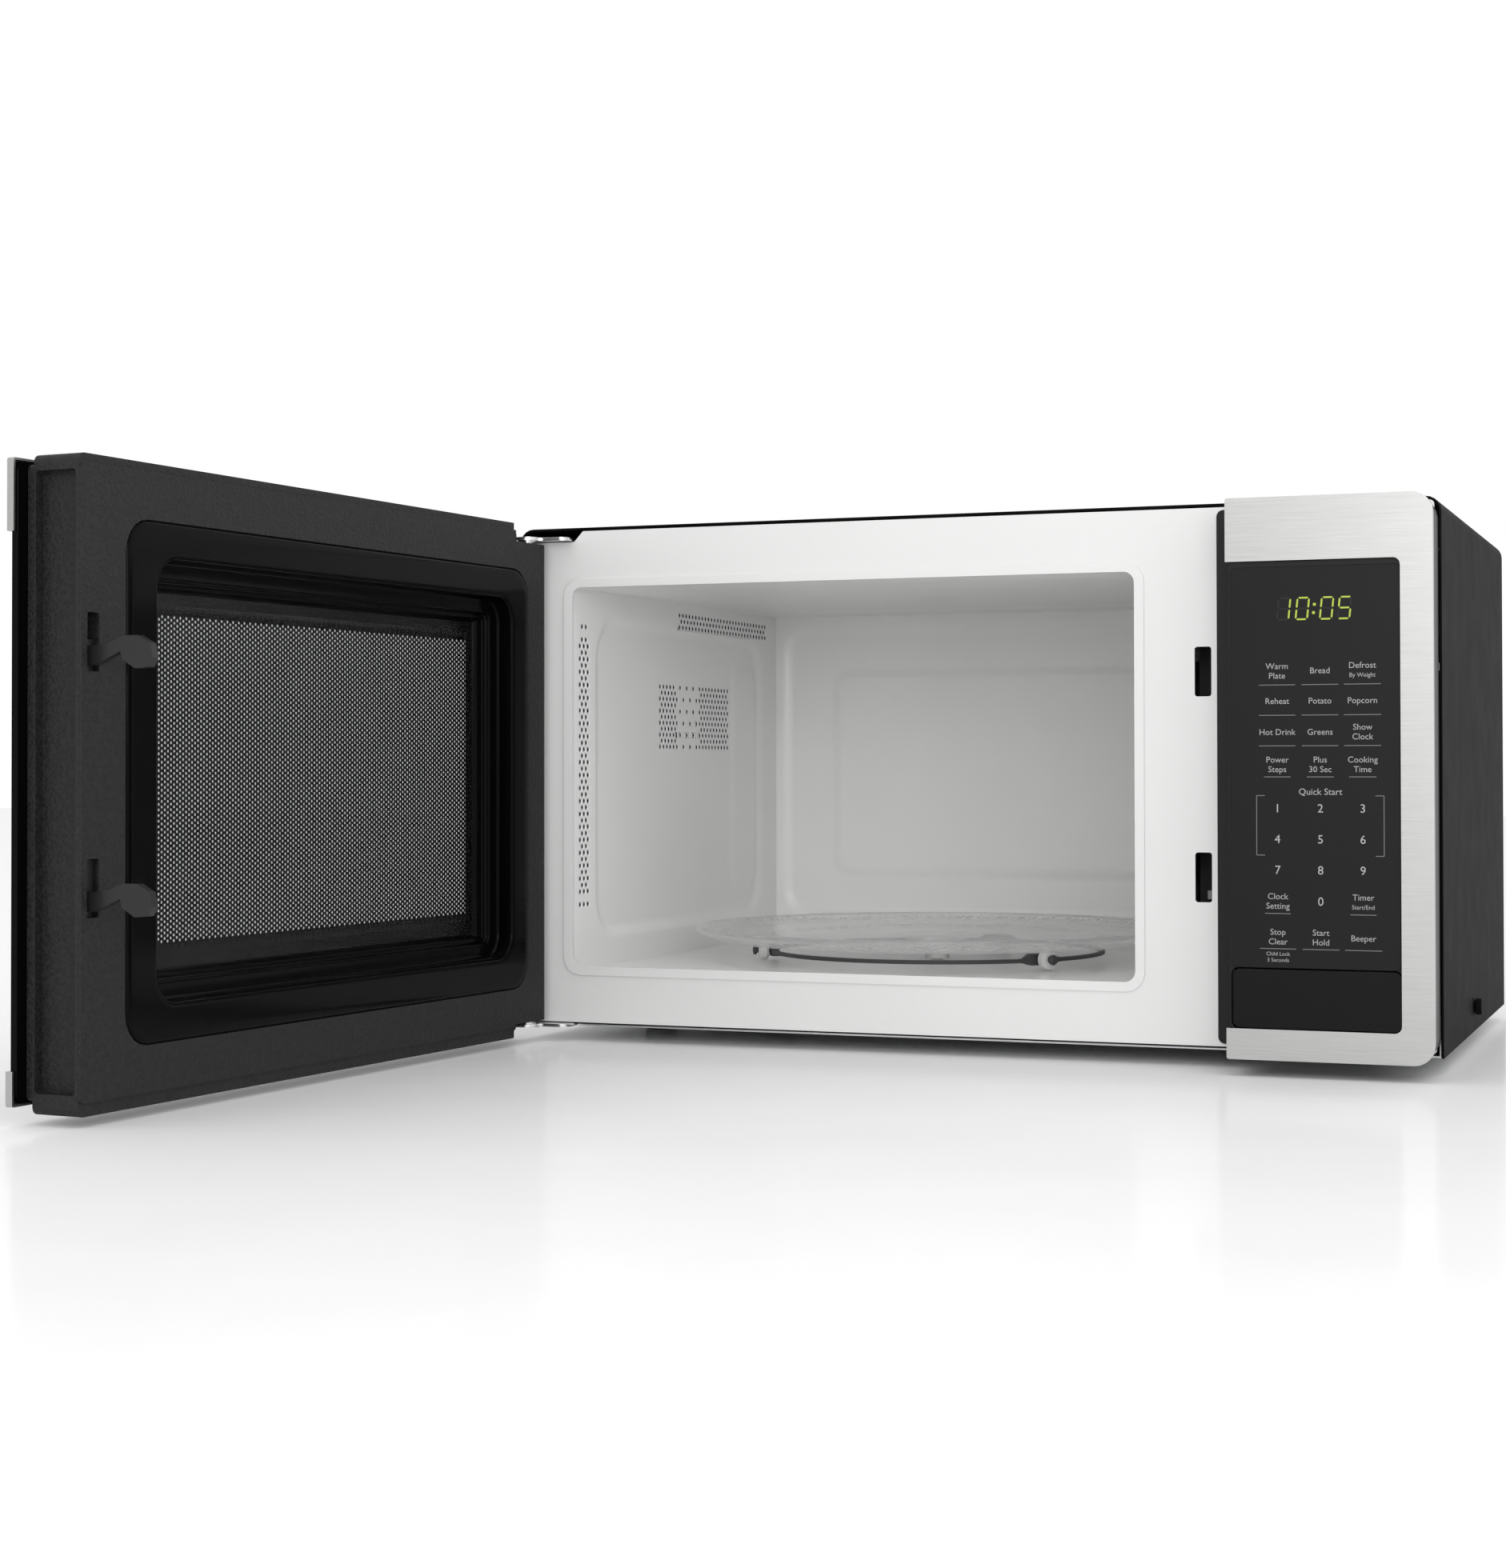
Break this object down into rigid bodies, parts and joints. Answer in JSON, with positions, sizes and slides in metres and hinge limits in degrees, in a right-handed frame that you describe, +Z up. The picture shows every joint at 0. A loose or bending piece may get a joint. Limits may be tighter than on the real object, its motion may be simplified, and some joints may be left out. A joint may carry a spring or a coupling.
{
  "type": "microwave oven",
  "caption": "Countertop microwave oven with a side-hinged door standing open, glass turntable on a roller ring, key panel, latch hooks and push-button release.",
  "frame": {"origin": "centre of the base plate's underside", "axes": "+Z up, -Y towards the person who uses it, +X towards the control panel"},
  "size_m": [0.4938, 0.6497, 0.2558],
  "materials": {
    "white_paint": "satin white enamel on sheet steel",
    "black_paint": "fine-grained black paint on sheet steel",
    "brushed_steel": "brushed along the width",
    "zinc_steel": "bright zinc-plated steel",
    "grained_black": "fine moulded grain",
    "gloss_black": "polished black plastic",
    "dark_glass": "black-backed glass",
    "charcoal": "satin charcoal",
    "clear_glass": "clear glass",
    "clear_film": "clear plastic film",
    "white_plastic": "satin white plastic",
    "grey_plastic": "satin grey plastic",
    "laminated_iron": "stacked iron laminations",
    "copper": "varnished copper wire",
    "laminate": "printed circuit laminate",
    "rubber": "moulded rubber",
    "mica": "pressed mica sheet"
  },
  "bodies": {
    "cabinet": {"base_plate": "zinc_steel", "foot_front_left": "rubber", "foot_front_right": "rubber", "foot_rear_left": "rubber", "foot_rear_right": "rubber", "front_plate": "white_paint", "cavity_shell": "white_paint", "outer_wrapper": "black_paint", "wrapper_screw_right": "black_paint", "wrapper_screw_left": "black_paint", "rear_panel": "black_paint", "cord_gland": "rubber", "hinge_upper": "zinc_steel", "hinge_lower": "zinc_steel", "turntable_motor": "zinc_steel", "waveguide_cover": "mica", "waveguide": "zinc_steel", "magnetron": "zinc_steel", "magnetron_yoke": "zinc_steel", "transformer_core": "laminated_iron", "transformer_windings": "copper", "high_voltage_capacitor": "zinc_steel", "capacitor_clamp": "zinc_steel", "high_voltage_diode": "charcoal", "fan_shroud": "white_plastic", "fan_motor": "zinc_steel", "lamp_socket": "zinc_steel", "cavity_lamp": "clear_glass", "thermal_cutout": "zinc_steel", "line_filter_board": "laminate", "fuse": "clear_glass", "latch_housing": "grey_plastic", "interlock_switch_upper": "charcoal", "interlock_switch_lower": "charcoal", "monitor_switch": "charcoal", "control_panel_housing": "gloss_black", "control_panel_trim": "brushed_steel", "keypad_membrane": "charcoal", "display_module": "charcoal", "control_board": "laminate", "button_spring": "zinc_steel"},
    "door": {"door_frame": "grained_black", "door_trim": "brushed_steel", "door_glass": "dark_glass", "door_screen": "gloss_black", "door_film": "clear_film", "choke_cover": "gloss_black", "latch_spring": "zinc_steel"},
    "latch": {"latch_plate": "gloss_black"},
    "button": {"door_open_button": "charcoal"},
    "lever": {"open_lever": "white_plastic"},
    "drive": {"drive_coupler": "white_plastic"},
    "tray": {"glass_tray": "clear_glass"},
    "ring": {"roller_ring": "grey_plastic"},
    "roller_a": {"roller_1": "white_plastic"},
    "roller_b": {"roller_2": "white_plastic"},
    "roller_c": {"roller_3": "white_plastic"},
    "fan": {"fan_blade": "white_plastic"}
  },
  "joints": [
    {"name": "door_hinge", "type": "hinge", "parent": "cabinet", "child": "door", "pos_m": [-0.2168, -0.15065, 0.12], "axis": [0, 0, -1], "range_deg": [-94.2, 6]},
    {"name": "latch_slide", "type": "slide", "parent": "door", "child": "latch", "axis": [0, 0, 1], "range_m": [0, 0.004], "stiffness_N_per_m": 300, "springref_m": -0.002, "deforming": ["latch_spring"]},
    {"name": "door_button", "type": "slide", "parent": "cabinet", "child": "button", "axis": [0, 1, 0], "range_m": [0, 0.005], "stiffness_N_per_m": 400, "deforming": ["button_spring"]},
    {"name": "lever_pivot", "type": "hinge", "parent": "cabinet", "child": "lever", "pos_m": [0.1745, -0.135, 0.045], "axis": [1, 0, 0], "range_deg": [0, 18]},
    {"name": "turntable_spin", "type": "hinge", "parent": "cabinet", "child": "drive", "pos_m": [-0.05155, 0.00315, 0.03], "axis": [0, 0, 1], "continuous": true},
    {"name": "tray_lift", "type": "slide", "parent": "drive", "child": "tray", "axis": [0, 0, 1], "range_m": [0, 0.03]},
    {"name": "roller_ring_spin", "type": "hinge", "parent": "cabinet", "child": "ring", "pos_m": [-0.05155, 0.00315, 0.0323], "axis": [0, 0, 1], "continuous": true},
    {"name": "roller_a_spin", "type": "hinge", "parent": "ring", "child": "roller_a", "pos_m": [-0.1356, -0.03427, 0.0323], "axis": [-0.9135, -0.4067, 0], "continuous": true},
    {"name": "roller_b_spin", "type": "hinge", "parent": "ring", "child": "roller_b", "pos_m": [0.02288, -0.05093, 0.0323], "axis": [0.809, -0.5878, 0], "continuous": true},
    {"name": "roller_c_spin", "type": "hinge", "parent": "ring", "child": "roller_c", "pos_m": [-0.04193, 0.09465, 0.0323], "axis": [0.1045, 0.9945, 0], "continuous": true},
    {"name": "fan_spin", "type": "hinge", "parent": "cabinet", "child": "fan", "pos_m": [0.1595, 0.099, 0.165], "axis": [0, 1, 0], "continuous": true}
  ],
  "couplings": [
    {"joint": "lever_pivot", "follows": "door_button", "rad_per_m": 62},
    {"joint": "roller_ring_spin", "follows": "turntable_spin", "ratio": 0.5},
    {"joint": "roller_a_spin", "follows": "turntable_spin", "ratio": -9.2},
    {"joint": "roller_b_spin", "follows": "turntable_spin", "ratio": -9.2},
    {"joint": "roller_c_spin", "follows": "turntable_spin", "ratio": -9.2}
  ]
}
